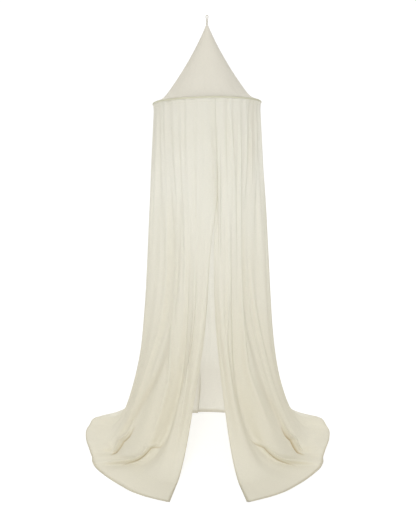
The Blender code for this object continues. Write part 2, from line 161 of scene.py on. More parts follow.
# Soft gathers under the casing. width: share of the curtain's width. reach: how far down they fade.
# drift: how far across they wander on the way.
GATHER_COLUMNS = ("across", "width", "height", "reach", "drift")
GATHERS = (
    (0.022, 0.007, 0.0012, 0.20, 0.004),
    (0.046, 0.006, 0.0009, 0.14, 0.000),
    (0.071, 0.008, 0.0011, 0.24, -0.003),
    (0.100, 0.007, 0.0008, 0.18, 0.002),
    (0.128, 0.009, 0.0012, 0.30, 0.000),
    (0.161, 0.007, 0.0009, 0.16, -0.002),
    (0.192, 0.008, 0.0014, 0.26, 0.003),
    (0.226, 0.009, 0.0012, 0.34, 0.000),
    (0.258, 0.007, 0.0014, 0.22, 0.002),
    (0.294, 0.009, 0.0024, 0.30, -0.003),
    (0.326, 0.007, 0.0019, 0.18, 0.002),
    (0.362, 0.009, 0.0024, 0.34, 0.000),
    (0.398, 0.007, 0.0018, 0.20, 0.003),
    (0.431, 0.009, 0.0022, 0.28, -0.002),
    (0.470, 0.008, 0.0019, 0.24, 0.000),
    (0.507, 0.009, 0.0024, 0.36, 0.003),
    (0.548, 0.007, 0.0018, 0.20, 0.000),
    (0.582, 0.009, 0.0024, 0.30, -0.002),
    (0.621, 0.008, 0.0021, 0.22, 0.002),
    (0.657, 0.009, 0.0024, 0.34, 0.000),
    (0.690, 0.007, 0.0019, 0.20, 0.002),
    (0.722, 0.009, 0.0024, 0.28, 0.000),
    (0.752, 0.008, 0.0026, 0.34, -0.002),
    (0.778, 0.007, 0.0027, 0.26, 0.002),
    (0.803, 0.008, 0.0030, 0.40, 0.000),
    (0.826, 0.006, 0.0027, 0.30, 0.003),
    (0.846, 0.007, 0.0030, 0.44, 0.002),
    (0.866, 0.006, 0.0026, 0.26, 0.000),
    (0.889, 0.008, 0.0029, 0.38, -0.003),
    (0.918, 0.007, 0.0021, 0.30, 0.002),
    (0.948, 0.008, 0.0018, 0.24, 0.000),
    (0.976, 0.006, 0.0016, 0.20, -0.002),
)
GATHER_WIDENING = 1.5  # what its reach adds to a gather's width, in widths
GATHER_FADE = 2.0

# Slow uneven ripples down the whole cloth. waves: over its width. bend: how far each wanders.
RIPPLE_COLUMNS = ("waves", "drift", "phase", "bend", "bend_waves", "height")
RIPPLES = (
    (13.0, 0.25, 0.4, 0.9, 1.3, 0.0026),
    (23.0, -0.35, 2.1, 1.1, 0.9, 0.0038),
    (37.0, 0.30, 4.4, 1.3, 1.7, 0.0030),
    (49.0, -0.45, 1.2, 1.2, 1.1, 0.0018),
    (61.0, 0.50, 3.3, 1.6, 1.9, 0.0009),
)

# Places along the cloth, and how much of their height the ripples have there
RIPPLE_STRENGTHS = ((0.0, 0.35), (0.08, 0.65), (0.30, 0.70), (0.66, 0.42), (0.85, 0.20), (1.0, 0.15))

# Ridges and creases, each along a bent line of places across and along the cloth.
# width: metres. height: outwards is positive. lean: how far it rolls over to the front edge, in heights.
# shade: how much painted shade it gets, the darker, warmer colour of the shade in a tight crease.
RIDGE_COLUMNS = ("width", "height", "lean", "shade", "places")
RIDGES = (
    # Ridges down the front and the two sides
    (0.011, 0.015, 0.0, 0.0, (
        (0.115, 0.14), (0.132, 0.30), (0.135, 0.40), (0.115, 0.49), (0.104, 0.55), (0.110, 0.70),
    )),
    (0.017, 0.013, 0.0, 0.0, (
        (0.045, 0.24), (0.052, 0.33), (0.045, 0.49), (0.034, 0.56), (0.028, 0.63), (0.026, 0.74),
    )),
    (0.010, 0.009, 0.0, 0.0, ((0.934, 0.32), (0.934, 0.43), (0.955, 0.52), (0.961, 0.60))),
    (0.011, 0.015, 0.0, 0.0, (
        (0.882, 0.15), (0.883, 0.30), (0.888, 0.40), (0.891, 0.54), (0.884, 0.59), (0.872, 0.70),
    )),
    (0.010, 0.006, 0.0, 0.0, ((0.921, 0.00), (0.916, 0.06), (0.907, 0.12), (0.905, 0.18))),
    (0.008, 0.006, 0.0, 0.0, ((0.014, 0.03), (0.011, 0.10), (0.004, 0.13), (0.009, 0.17), (0.008, 0.24))),
    (0.010, 0.0065, 0.0, 0.0, ((0.888, 0.00), (0.883, 0.13), (0.882, 0.20))),
    (0.010, 0.006, 0.0, 0.0, ((0.864, 0.00), (0.855, 0.13), (0.852, 0.22))),
    (0.010, 0.006, 0.0, 0.0, ((0.842, 0.00), (0.832, 0.13), (0.830, 0.20))),
    (0.012, 0.0065, 0.0, 0.0, ((0.808, 0.00), (0.809, 0.13), (0.812, 0.24))),
    (0.016, 0.005, 0.0, 0.0, ((0.133, 0.02), (0.166, 0.20), (0.172, 0.41), (0.165, 0.52))),
    (0.014, 0.007, 0.0, 0.0, ((0.075, 0.08), (0.072, 0.20), (0.080, 0.34))),
    (0.012, 0.0045, 0.0, 0.0, ((0.200, 0.03), (0.212, 0.25), (0.210, 0.50))),
    (0.014, 0.009, 0.0, 0.0, ((0.832, 0.22), (0.828, 0.40), (0.820, 0.58))),
    (0.012, 0.006, 0.0, 0.0, ((0.955, 0.08), (0.958, 0.20), (0.962, 0.34))),
    # Crests at the floor, each beside a crease
    (0.010, 0.011, 1.0, 0.0, ((0.162, 0.64), (0.158, 0.71), (0.168, 0.75), (0.162, 0.80), (0.150, 0.87))),
    (0.009, 0.005, 0.5, 0.0, ((0.090, 0.66), (0.090, 0.72), (0.110, 0.745), (0.110, 0.80), (0.106, 0.87))),
    (0.010, 0.011, 1.0, 0.0, ((0.840, 0.64), (0.840, 0.715), (0.832, 0.745), (0.838, 0.80), (0.848, 0.87))),
    (0.009, 0.005, 0.5, 0.0, ((0.926, 0.66), (0.920, 0.70), (0.893, 0.741), (0.890, 0.80), (0.894, 0.87))),
    # Tight creases that the cloth rolls over, with painted shade in them
    (0.006, -0.013, 0.0, 1.2, ((0.146, 0.68), (0.148, 0.72), (0.157, 0.75), (0.152, 0.80), (0.141, 0.88))),
    (0.004, -0.006, 0.0, 0.9, (
        (0.079, 0.70), (0.081, 0.728), (0.099, 0.742), (0.100, 0.772), (0.097, 0.85), (0.084, 0.89),
    )),
    (0.006, -0.013, 0.0, 1.2, ((0.851, 0.68), (0.849, 0.72), (0.843, 0.745), (0.849, 0.80), (0.858, 0.88))),
    (0.004, -0.006, 0.0, 0.9, (
        (0.930, 0.69), (0.915, 0.72), (0.903, 0.741), (0.901, 0.78), (0.905, 0.845), (0.916, 0.90),
    )),
    # Broad troughs with a faint painted shade, and painted shade at the top of the right side
    (0.022, -0.004, 0.0, 0.16, ((0.112, 0.47), (0.130, 0.54), (0.151, 0.61), (0.169, 0.69), (0.172, 0.80))),
    (0.022, -0.003, 0.0, 0.16, ((0.878, 0.55), (0.865, 0.57), (0.848, 0.64), (0.840, 0.73), (0.836, 0.82))),
    (0.050, 0.000, 0.0, 0.09, ((0.830, -0.10), (0.828, 0.05), (0.825, 0.22))),
    # Pleat of the back behind the opening
    (0.012, -0.011, 3.0, 0.0, ((0.476, 0.78), (0.475, 0.88), (0.474, 0.96), (0.474, 1.10))),
)
RIDGE_SEARCH = 0.08  # from a ridge's mean place across the cloth to where it isn't looked for

# The front edges lap down to LAP_END, and their small folds fade in over LAP_FADE above it.
LAP_END = 0.40
LAP_FADE = 0.15
LAP_QUIET = 0.9  # share of the small folds that the lap takes away

# Painted shade and highlight on the folds, from 0 to 1, which darkens the cloth in its valleys and at its
# left and right, and lightens it where it stands out
MEAN_FOLD_SHADE = 0.4
FOLD_SHADE_RANGE = 0.030  # height of the folds from the fully shaded to the fully lit cloth
SIDE_FOLD_SHADE = 1.1  # added at the left and right
SIDE_FOLD_SHADE_POWER = 4

CORNER_RADIUS = 0.018  # lower front corners of the cloth

# Hems, sewing, and the rows and columns of the curtain's mesh
HEM_DEPTH = 0.020
EDGE_TURN_DEPTH = 0.006
HEM_GAP = 0.0008  # between the two layers of a hem
STITCH_PITCH = 0.0042
STITCH_LENGTH = 0.0028
STITCH_AHEAD = 0.001  # over which a stitch's direction is read
THREAD_RADIUS = 0.00028
SLOPE_STEP = 1e-3  # for slopes along and across the curtain
TURN_ROWS = (1.0, 0.5, 0.06)  # places of the rows in a turned edge or hem, in its depths
CURTAIN_COLUMNS = 400
CURTAIN_ROWS = 210
BACK_PLEAT = (0.455, 0.497)  # share of the width that the pleat behind the opening takes up
BACK_PLEAT_COLUMNS = 33
COLUMN_SPACING = ((0.0, 0.0), (0.3, 0.2), (0.5, 0.5), (0.7, 0.8), (1.0, 1.0))  # even place, place across
ROW_SPACING = ((0.0, 0.0), (0.06, 0.035), (0.24, 0.42), (0.32, 0.55), (0.90, 0.90), (1.0, 1.0))
FLOOR_CLEARANCE = 0.0006
STITCH_ARCH = ((0.0, -0.0001), (0.3, 0.0003), (0.7, 0.0003), (1.0, -0.0001))  # share of its length, rise
SEWN_ACROSS = (0.006, 0.994, 3000)  # start, end and steps of rows of stitches
SEWN_ALONG = (0.004, 0.986, 1500)
TOP_SEAM_LINE = 0.006  # where the gathered top is stitched
HEM_SEAM_SHARE = 0.9  # where the hem is stitched, in its depths
EDGE_SEAM_SHARE = 0.85

# Roof: slow pulls of the stretched cloth near the hoop, small pleats at the point, and the back seam
ROOF_PULL_COLUMNS = ("waves", "phase", "bend", "height")
ROOF_PULLS = (
    (5.0, 0.7, 1.2, 0.0014),
    (11.0, 2.9, 2.0, 0.0010),
    (19.0, 4.6, -1.5, 0.0007),
    (37.0, 1.1, 2.4, 0.0004),
)
ROOF_PLEATS = 9.0
ROOF_PLEAT_BEND = (0.8, 3.0)  # how far the pleats wander round the roof, and how often
ROOF_PLEAT_HEIGHT = 0.0006
ROOF_PLEAT_REACH = 0.10
ROOF_SEAM_HEIGHT = 0.0008
ROOF_SEAM_WIDTH = 0.0050
ROOF_SEAM_ROW = 0.0030  # from its middle to each row of stitches
ROOF_SEAM_ENDS = (0.012, 0.004)  # below the roof's top, above the casing
ROOF_SEAM_STEPS = 400
ROOF_SEAM_UP = 0.08  # how far a stitch faces upwards
ROOF_TOPSTITCH = 0.0045  # above the casing
ROOF_TOPSTITCH_STEPS = 1500
ROOF_TOPSTITCH_UP = 0.25
ROOF_WEAVE_RADIUS = 0.6 * HOOP_RADIUS  # where the weave has its true width
ROOF_COLUMNS = 288
ROOF_ROWS = 90

# Casing: small puckers of its stitching, two uneven waves round the hoop
PUCKER_COLUMNS = ("waves", "bend", "bend_waves", "share")
PUCKERS = (
    (173.0, 2.2, 7.0, 1.0),
    (89.0, 1.9, 11.0, 0.7),
)
PUCKER_DEPTH = 0.0002
PUCKER_SWING = 0.55  # how far the depth changes, in depths
PUCKER_LEAST = 0.3  # its share away from the two seams
SEAM_SHARPNESS = 6
CASING_SHADE_AT = math.radians(362.0)  # middle of a band of painted shade on the casing's outer side, round the tunnel's section
CASING_SHADE_SPREAD = math.radians(36.0)  # over which it fades
CASING_SHADE_CORE = 0.5  # its full part to each side, in spreads
CASING_COLUMNS = 1440
CASING_ROWS = 22

# Cord loop, as in its solid, with three strands
LOOP_CORD_RADIUS = 0.00175
LOOP_LEG_SPREAD = 0.0021  # from the middle to each leg
LOOP_EYE_SPREAD = 0.0046
LOOP_EYE_HEIGHT = 0.024
LOOP_LEG_STEPS = 12
LOOP_EYE_STEPS = 16
LOOP_BEND_STEP = 12.0  # degrees
LOOP_AWAY = (0.31, 0.93, 0.17)  # a direction in which the cord never runs
KNOT_Z = -0.0536
KNOT_SCALE = 0.00160
KNOT_HEIGHT = 1.25  # half its height, in scales
KNOT_STEPS = 120
CORD_STRANDS = 3
CORD_TWIST = 0.0085  # length of one turn of the strands
STRAND_RADIUS = 0.00088
STRAND_OFFSET = 0.00086
STRAND_STEP = 0.0005
STRAND_SIDES = 6

# Colours, linear
MUSLIN_LIGHT = (0.836, 0.827, 0.771, 1.0)
MUSLIN_WARM = (0.818, 0.806, 0.737, 1.0)
# Painted shade: the muslin's darker, warmer colour near the floor, where less light falls
MUSLIN_SHADED_AT_FLOOR = (0.728, 0.699, 0.597, 1.0)
# Painted shade: the darker, warmer colour of the shade in creases and troughs
MUSLIN_CREASE_SHADE = (0.450, 0.355, 0.190, 1.0)
# Painted shade: the back of the muslin, seen through the opening, close to the floor
MUSLIN_SHADE_BEHIND = (0.715, 0.692, 0.622, 1.0)
FOLD_SHADE_TINT = 0.075  # how much darker or lighter than the mean the cloth is painted by that share: painted shade and highlight
ROOF_COLOUR = (0.715, 0.686, 0.606, 1.0)
ROOF_WARM = (0.692, 0.662, 0.576, 1.0)
CASING_COLOUR = (0.740, 0.720, 0.640, 1.0)
CASING_DARK = (0.700, 0.675, 0.580, 1.0)
# Painted shade: the darker band on the casing's outer side, where roof and casing meet
CASING_PAINTED_SHADE = (0.575, 0.562, 0.415, 1.0)
CORD_COLOUR = (0.600, 0.560, 0.450, 1.0)
CORD_DARK = (0.430, 0.390, 0.290, 1.0)
THREAD_COLOUR = (0.760, 0.735, 0.640, 1.0)
THREAD_DARK = (0.700, 0.670, 0.560, 1.0)
HOOP_COLOUR = (0.800, 0.800, 0.780, 1.0)
HOOP_SCUFFED = (0.720, 0.720, 0.690, 1.0)
HOOP_ROUGHNESS = (0.32, 0.55)  # smooth, scuffed
FLOOR_COLOUR = (0.480, 0.480, 0.480, 1.0)
WHITE = (1.0, 1.0, 1.0, 1.0)

# Surfaces
CLOTH_ROUGHNESS = 0.92
SHEEN_ROUGHNESS = 0.5
SPECULAR = 0.2
SLUB_SCALE = 0.45  # slubs per thread
SLUB_LENGTH = 0.12  # a slub's width in its lengths
THREAD_WAVE = 0.25  # how high the even weave is beside the slubs
WEAVE_HEIGHTS = (0.6, 1.4)  # between the threads, on the threads
WEAVE_TINTS = (0.955, 1.03)  # how bright there
WEAVE_DEPTH = 0.0004
FIBRE_DEPTH = 0.0002

# Painted shade: from the height below down, over the distance below it, the muslin is painted darker and
# warmer, where less light falls near the floor. The middle of its back, seen through the opening, gets a
# painted shade of its own instead, close to the floor.
FLOOR_SHADE_FROM = -0.750
FLOOR_SHADE_OVER = 1.000
BACK_SHARE = 0.17  # from the middle to the end of that part, in shares of the cloth's width
BACK_FADE = 0.09  # how much of it fades
BACK_SHADE_POWER = 5  # more keeps its shade closer to the floor

# The room's light: the plain background looks white on every side, but gives less light from above and
# from the left and right. RISE and SIDE: a direction's upward and sideways part.
BACKDROP = 1.06  # how bright the plain background looks
ROOM_RISE = (0.15, 0.90)
ROOM_LIGHT = (0.985, 0.750)
ROOM_SIDE = (0.30, 0.90)
SIDE_LIGHT = (1.0, 0.40)

FLOOR_REACH = 30.0
FLOOR_EMISSION = 0.64
FLOOR_ROUGHNESS = 0.95

# Lamps, far away: strength, softness in degrees, and the tilt and turn of their light
LAMPS = (
    ("front", 1.00, 20.0, 60.0, -7.0),
    ("behind", 0.70, 30.0, -55.0, 8.0),
)


def smooth_values(places, values, at):
    """A smooth curve through the values, read at many places."""
    places, values = np.asarray(places, float), np.asarray(values, float)
    at = np.clip(at, places[0], places[-1])
    last = len(places) - 1
    i = np.clip(np.searchsorted(places, at, side="right") - 1, 0, last - 1)
    before = np.maximum(np.arange(last + 1) - 1, 0)
    after = np.minimum(np.arange(last + 1) + 1, last)
    slopes = (values[after] - values[before]) / (places[after] - places[before])
    step = places[i + 1] - places[i]
    u = (at - places[i]) / step
    return (
        (2 * u**3 - 3 * u**2 + 1) * values[i]
        + (u**3 - 2 * u**2 + u) * step * slopes[i]
        + (3 * u**2 - 2 * u**3) * values[i + 1]
        + (u**3 - u**2) * step * slopes[i + 1]
    )


def column(rows, names, name):
    return [row[names.index(name)] for row in rows]


def named(rows, names):
    """The rows of a table, each with its columns' names."""
    return [dict(zip(names, row)) for row in rows]


ACROSS = column(LINES, LINE_COLUMNS, "across")


def line_at(across, name):
    return smooth_values(ACROSS, column(LINES, LINE_COLUMNS, name), across)


def unit(vectors):
    return vectors / np.maximum(np.linalg.norm(vectors, axis=1, keepdims=True), 1e-12)


def distances(points):
    """How far along a path each of its points is."""
    return np.concatenate(([0.0], np.cumsum(np.linalg.norm(np.diff(points, axis=0), axis=1))))


def along_path(at, reach, values):
    """Points or directions of a path, read at distances along it."""
    return np.stack([np.interp(at, reach, values[:, k]) for k in range(3)], axis=1)


def hoop_tilt(x, y):
    """How much higher the tilted hoop's plane is at a plan position."""
    return x * math.tan(HOOP_RIGHT_UP) - y * math.tan(HOOP_FRONT_UP)


def edge_share(across):
    """1 at a front edge, falling to 0 at the first line in from it."""
    return np.maximum(0.0, 1.0 - np.minimum(across, 1.0 - across) / ACROSS[1])


def left_and_right(rows, along):
    """The values that a table gives for the left and for the right at places down the cloth."""
    places = column(rows, SIDE_COLUMNS, "along")
    return [smooth_values(places, column(rows, SIDE_COLUMNS, side), along) for side in ("left", "right")]


def sway(across, along):
    """How far a front edge and the cloth beside it wander to the right."""
    left, right = left_and_right(SWAYS, along)
    return edge_share(across) * np.where(across < 0.5, left, right)


def level_points(across, level, height):
    """Where the lengthwise lines pass a level that the table names, at heights above the floor."""
    return np.stack((line_at(across, level + "_x"), line_at(across, level + "_y"), height), axis=1)


def curtain_base(across, along):
    """Points of the curtain without its folds, above the floor."""
    bearing = np.radians(line_at(across, "bearing"))
    round_hoop = np.stack((-np.sin(bearing), -np.cos(bearing), np.zeros_like(bearing)), axis=1)
    top = round_hoop * HOOP_RADIUS
    top[:, 2] = HOOP_HEIGHT + hoop_tilt(top[:, 0], top[:, 1]) - CASING_RADIUS - CLOTH_GAP
    lap = (EDGE_LAP + EDGE_LAP_GROWTH * np.minimum(along, MID_LINE)) * edge_share(across)
    outward = round_hoop * np.where(across < 0.5, lap, -lap)[:, None]
    mid = level_points(across, "mid", np.full_like(across, MID_HEIGHT))
    knee = level_points(across, "knee", np.maximum(0.0, line_at(across, "knee_z")))
    hem = level_points(across, "hem", np.zeros_like(across))
    touch = knee + (hem - knee) * line_at(across, "touch")[:, None]

    u = np.clip(along / MID_LINE, 0.0, 1.0)[:, None]
    pull = (knee - mid) * ((top - mid)[:, 2] / (mid - knee)[:, 2])[:, None]
    hanging = top + (mid - top) * u + (mid - top - pull) * (u * u * (1.0 - u)) + outward
    hanging[:, 0] += sway(across, along)
    v = np.clip((along - MID_LINE) / (TOUCH_LINE - MID_LINE), 0.0, 1.0)[:, None]
    sweep = mid * (1.0 - v) ** 2 + knee * (2.0 * v * (1.0 - v)) + touch * v**2 + outward * (1.0 - v) ** 2
    train = touch + (hem - touch) * np.clip((along - TOUCH_LINE) / (1.0 - TOUCH_LINE), 0.0, 1.0)[:, None]
    stage = along[:, None]
    return np.where(stage <= MID_LINE, hanging, np.where(stage <= TOUCH_LINE, sweep, train))


def fold_heights(across, along):
    """Heights of the main folds, and how far they lean to the front."""
    height, lean = np.zeros_like(across), np.zeros_like(across)
    for fold in named(FOLDS, FOLD_COLUMNS):
        here = (across >= fold["start"]) & (across <= fold["end"])
        share = (across[here] - fold["start"]) / (fold["end"] - fold["start"])
        shape = 1.0 - np.abs(np.cos(math.pi * share)) ** (2.0 * fold["fullness"])
        rise = smooth_values(LEVEL_LINES, [fold[name] for name in LEVEL_COLUMNS], along[here])
        height[here] = shape * rise
        lean[here] = height[here] * fold["lean"]
    on_floor = np.clip((along - MID_LINE) / (TOUCH_LINE - MID_LINE), 0.0, 1.0)
    return height, lean * on_floor**2


def gather_heights(across, along):
    """The small pleats under the casing, which fade out further down."""
    height = np.zeros_like(across)
    for gather in named(GATHERS, GATHER_COLUMNS):
        centre = gather["across"] + gather["drift"] * along / gather["reach"]
        width = gather["width"] * (1.0 + GATHER_WIDENING * along / gather["reach"])
        fade = np.exp(-((along / gather["reach"]) ** 2) * GATHER_FADE)
        height += gather["height"] * fade * np.exp(-(((across - centre) / width) ** 2))
    return height


def ripple_heights(across, along):
    """Slow ripples from the gathers to the floor, weaker under the casing and on the floor."""
    height = np.zeros_like(across)
    for ripple in named(RIPPLES, RIPPLE_COLUMNS):
        wander = ripple["bend"] * np.sin(math.tau * ripple["bend_waves"] * along + ripple["phase"])
        turn = math.tau * (ripple["waves"] * across + ripple["drift"] * along)
        height += ripple["height"] * np.sin(turn + ripple["phase"] + wander)
    return height * smooth_values(*zip(*RIPPLE_STRENGTHS), along)


def drawn_in(across, along):
    """How far the cloth is drawn in, turning from the left side's value to the right side's."""
    left, right = left_and_right(DRAWN_IN, along)
    start, width = DRAWN_IN_TURN
    return left + (right - left) * np.clip((across - start) / width, 0.0, 1.0)


def ridge_heights(across, along):
    """The ridges and creases: height, lean to the front and painted shade, tapered to both ends."""
    height, lean, shade = (np.zeros_like(across) for _ in range(3))
    scale = np.array((CURTAIN_WIDTH, CURTAIN_LENGTH))
    place = np.stack((across, along), axis=1) * scale
    for ridge in named(RIDGES, RIDGE_COLUMNS):
        line = np.array(ridge["places"]) * scale
        reach = distances(line)
        near = np.abs(across - np.mean(line[:, 0]) / CURTAIN_WIDTH) < RIDGE_SEARCH
        nearest, share = np.full(near.sum(), np.inf), np.zeros(near.sum())
        for k in range(len(line) - 1):
            run = line[k + 1] - line[k]
            along_run = np.clip((place[near] - line[k]) @ run / (run @ run), 0.0, 1.0)
            distance = np.linalg.norm(place[near] - line[k] - along_run[:, None] * run, axis=1)
            closer = distance < nearest
            nearest = np.where(closer, distance, nearest)
            share = np.where(closer, (reach[k] + along_run * np.linalg.norm(run)) / reach[-1], share)
        shape = np.sin(math.pi * share) * np.exp(-((nearest / ridge["width"]) ** 2))
        height[near] += ridge["height"] * shape
        lean[near] += ridge["height"] * ridge["lean"] * shape
        # Painted shade along the ridge's line
        shade[near] += ridge["shade"] * shape
    return height, lean, shade


def rounded_corners(across, along):
    """Moves places close to the two lower front corners, so that the cloth's corners are blunt."""
    from_edge = 1.0 - np.minimum(across, 1.0 - across) * CURTAIN_WIDTH / CORNER_RADIUS
    from_hem = 1.0 - (1.0 - along) * CURTAIN_LENGTH / CORNER_RADIUS
    corner = (from_edge > 0.0) & (from_hem > 0.0)
    edge = np.where(corner, from_edge * np.sqrt(1.0 - 0.5 * np.clip(from_hem, 0.0, 1.0) ** 2), from_edge)
    hem = np.where(corner, from_hem * np.sqrt(1.0 - 0.5 * np.clip(from_edge, 0.0, 1.0) ** 2), from_hem)
    inwards = (1.0 - edge) * CORNER_RADIUS / CURTAIN_WIDTH
    return np.where(across < 0.5, inwards, 1.0 - inwards), 1.0 - (1.0 - hem) * CORNER_RADIUS / CURTAIN_LENGTH


def small_folds(across, along):
    """Gathers and ripples, quiet where the two front edges lap."""
    folds = gather_heights(across, along) + ripple_heights(across, along)
    lap = edge_share(across) * np.clip((LAP_END - along) / LAP_FADE, 0.0, 1.0)
    return folds * (1.0 - LAP_QUIET * lap)


def fold_shade_share(across, along):
    """Share of painted shade: 0 where the cloth stands out, painted lighter; 1 in a valley and at the sides,
    painted darker.
    """
    ridges, _, _ = ridge_heights(across, along)
    at_side = SIDE_FOLD_SHADE * np.sin(math.tau * across) ** SIDE_FOLD_SHADE_POWER
    raised = small_folds(across, along) + np.maximum(ridges, 0.0)
    return np.clip(MEAN_FOLD_SHADE + at_side - raised / FOLD_SHADE_RANGE, 0.0, 1.0)


def surface_slopes(surface, across, along):
    """How the points of a surface change sideways and down the cloth."""
    left, right = np.maximum(across - SLOPE_STEP, 0.0), np.minimum(across + SLOPE_STEP, 1.0)
    above, below = np.maximum(along - SLOPE_STEP, 0.0), np.minimum(along + SLOPE_STEP, 1.0)
    return surface(right, along) - surface(left, along), surface(across, below) - surface(across, above)


def curtain_points(across, along, inside=0.0):
    """Points on the curtain. inside: distance inwards from the cloth's face, for the hems' second layer."""
    across, along = rounded_corners(across, along)
    sideways, down = surface_slopes(curtain_base, across, along)
    outward = unit(np.cross(sideways, down))
    fold_height, fold_lean = fold_heights(across, along)
    ridge_height, ridge_lean, _ = ridge_heights(across, along)
    small = small_folds(across, along) - drawn_in(across, along)
    height, lean = fold_height + ridge_height + small, fold_lean + ridge_lean
    to_front = unit(sideways) * np.where(across < 0.5, -1.0, 1.0)[:, None]
    points = curtain_base(across, along) + outward * (height - inside)[:, None] + to_front * lean[:, None]
    points[:, 2] = np.maximum(points[:, 2], 0.0) + FLOOR_CLEARANCE + HEM_GAP - inside + FLOOR
    return points


def placed(name, data):
    thing = bpy.data.objects.new(name, data)
    bpy.context.scene.collection.objects.link(thing)
    return thing


def mesh_piece(name, points, faces, finish, uvs=None, shades=None):
    """A smooth-shaded mesh object that rides on the canopy's one body. shades: values for its points."""
    data = bpy.data.meshes.new(name)
    data.from_pydata([tuple(p) for p in points], [], faces)
    if uvs is not None:
        layer = data.uv_layers.new(name="cloth")
        corners = np.empty(len(data.loops), int)
        data.loops.foreach_get("vertex_index", corners)
        layer.data.foreach_set("uv", np.asarray(uvs)[corners].astype(np.float32).ravel())
    for shade, values in (shades or {}).items():
        data.attributes.new(shade, "FLOAT", "POINT").data.foreach_set("value", values.astype(np.float32))
    data.materials.append(finish)
    data.shade_smooth()
    data.update()
    piece = placed(name, data)
    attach(piece, "root")
    return piece


def grid_faces(rows, columns, closed=False):
    """Quads over a grid of points kept row by row."""
    faces = []
    for r in range(rows - 1):
        for c in range(columns if closed else columns - 1):
            d = (c + 1) % columns
            faces.append((r * columns + c, (r + 1) * columns + c, (r + 1) * columns + d, r * columns + d))
    return faces


def tube_faces(rings, sides):
    """Faces over rings of points, closed at both ends."""
    last = range((rings - 1) * sides, rings * sides)
    return grid_faces(rings, sides, closed=True) + [tuple(range(sides)), tuple(reversed(last))]


def joined(meshes):
    """The points and faces of several meshes as one."""
    faces = []
    base = 0
    for points, own_faces in meshes:
        faces += [tuple(base + k for k in face) for face in own_faces]
        base += len(points)
    return np.concatenate([points for points, _ in meshes]), faces


def set_inputs(node, values):
    for key, value in values.items():
        node.inputs[key].default_value = value


def node_maker(owner):
    """A short way to add nodes with their inputs, and to link them, in a material or the world."""
    tree = owner.node_tree

    def add(kind, inputs=(), **settings):
        node = tree.nodes.new(kind)
        for key, value in settings.items():
            setattr(node, key, value)
        set_inputs(node, dict(inputs))
        return node

    return add, tree.links.new


def new_material(name, values):
    """A material and its shader, with values for some of its inputs."""
    made = bpy.data.materials.new(name)
    made.use_nodes = True
    shader = made.node_tree.nodes["Principled BSDF"]
    set_inputs(shader, {"Sheen Roughness": SHEEN_ROUGHNESS, "Specular IOR Level": SPECULAR, **values})
    return made, shader


def noise_over(add, link, scale, detail):
    """Noise over the object's own metres."""
    place = add("ShaderNodeTexCoord")
    noise = add("ShaderNodeTexNoise", {"Scale": scale, "Detail": detail})
    link(place.outputs["Object"], noise.inputs["Vector"])
    return noise.outputs["Fac"]


def mapped(add, link, value, from_range, to_range, **settings):
    """The value, mapped from one range to another."""
    names = ("From Min", "From Max", "To Min", "To Max")
    node = add("ShaderNodeMapRange", zip(names, from_range + to_range), **settings)
    link(value, node.inputs["Value"])
    return node.outputs[0]


def scaled(add, link, colour, factor):
    """The colour, brighter or darker by a factor."""
    product = add("ShaderNodeVectorMath", operation="SCALE")
    link(colour, product.inputs[0])
    link(factor, product.inputs["Scale"])
    return product.outputs[0]


def raised_by(add, link, shader, height, strength, depth):
    """Gives the shader a bump."""
    bump = add("ShaderNodeBump", {"Strength": strength, "Distance": depth})
    link(height, bump.inputs["Height"])
    link(bump.outputs[0], shader.inputs["Normal"])
    return bump.outputs[0]


def weave_height(add, link, threads_per_metre):
    """A plain weave over the cloth's own metres, with uneven threads both ways. Returns the height."""
    place = add("ShaderNodeUVMap", uv_map="cloth")
    split = add("ShaderNodeSeparateXYZ")
    link(place.outputs["UV"], split.inputs[0])
    total = add("ShaderNodeMath", operation="ADD")
    for axis, stretch in ((0, (1.0, SLUB_LENGTH, 1.0)), (1, (SLUB_LENGTH, 1.0, 1.0))):
        scale = add("ShaderNodeMapping", {"Scale": stretch})
        link(place.outputs["UV"], scale.inputs["Vector"])
        slub = add("ShaderNodeTexNoise", {"Scale": threads_per_metre * SLUB_SCALE, "Detail": 2.0})
        link(scale.outputs[0], slub.inputs["Vector"])
        turn = add("ShaderNodeMath", {1: math.tau * threads_per_metre}, operation="MULTIPLY")
        link(split.outputs[axis], turn.inputs[0])
        wave = add("ShaderNodeMath", operation="SINE")
        link(turn.outputs[0], wave.inputs[0])
        uneven = add("ShaderNodeMath", {1: THREAD_WAVE}, operation="MULTIPLY_ADD")
        link(wave.outputs[0], uneven.inputs[0])
        link(slub.outputs["Fac"], uneven.inputs[2])
        link(uneven.outputs[0], total.inputs[axis])
    return total.outputs[0]


def tinted(add, link, one, other, scale, detail, low, high):
    """A colour that drifts between two tints over the object, where the noise goes from low to high."""
    share = mapped(add, link, noise_over(add, link, scale, detail), (low, high), (0.0, 1.0))
    mix = add("ShaderNodeMix", {"A": one, "B": other}, data_type="RGBA")
    link(share, mix.inputs["Factor"])
    return mix.outputs["Result"]


def mixed_by(add, link, colour, other, attribute):
    """The colour, turning into another where the mesh's attribute rises to 1."""
    share = add("ShaderNodeAttribute", attribute_name=attribute)
    mix = add("ShaderNodeMix", {"B": other}, data_type="RGBA")
    link(share.outputs["Fac"], mix.inputs["Factor"])
    link(colour, mix.inputs["A"])
    return mix.outputs["Result"]


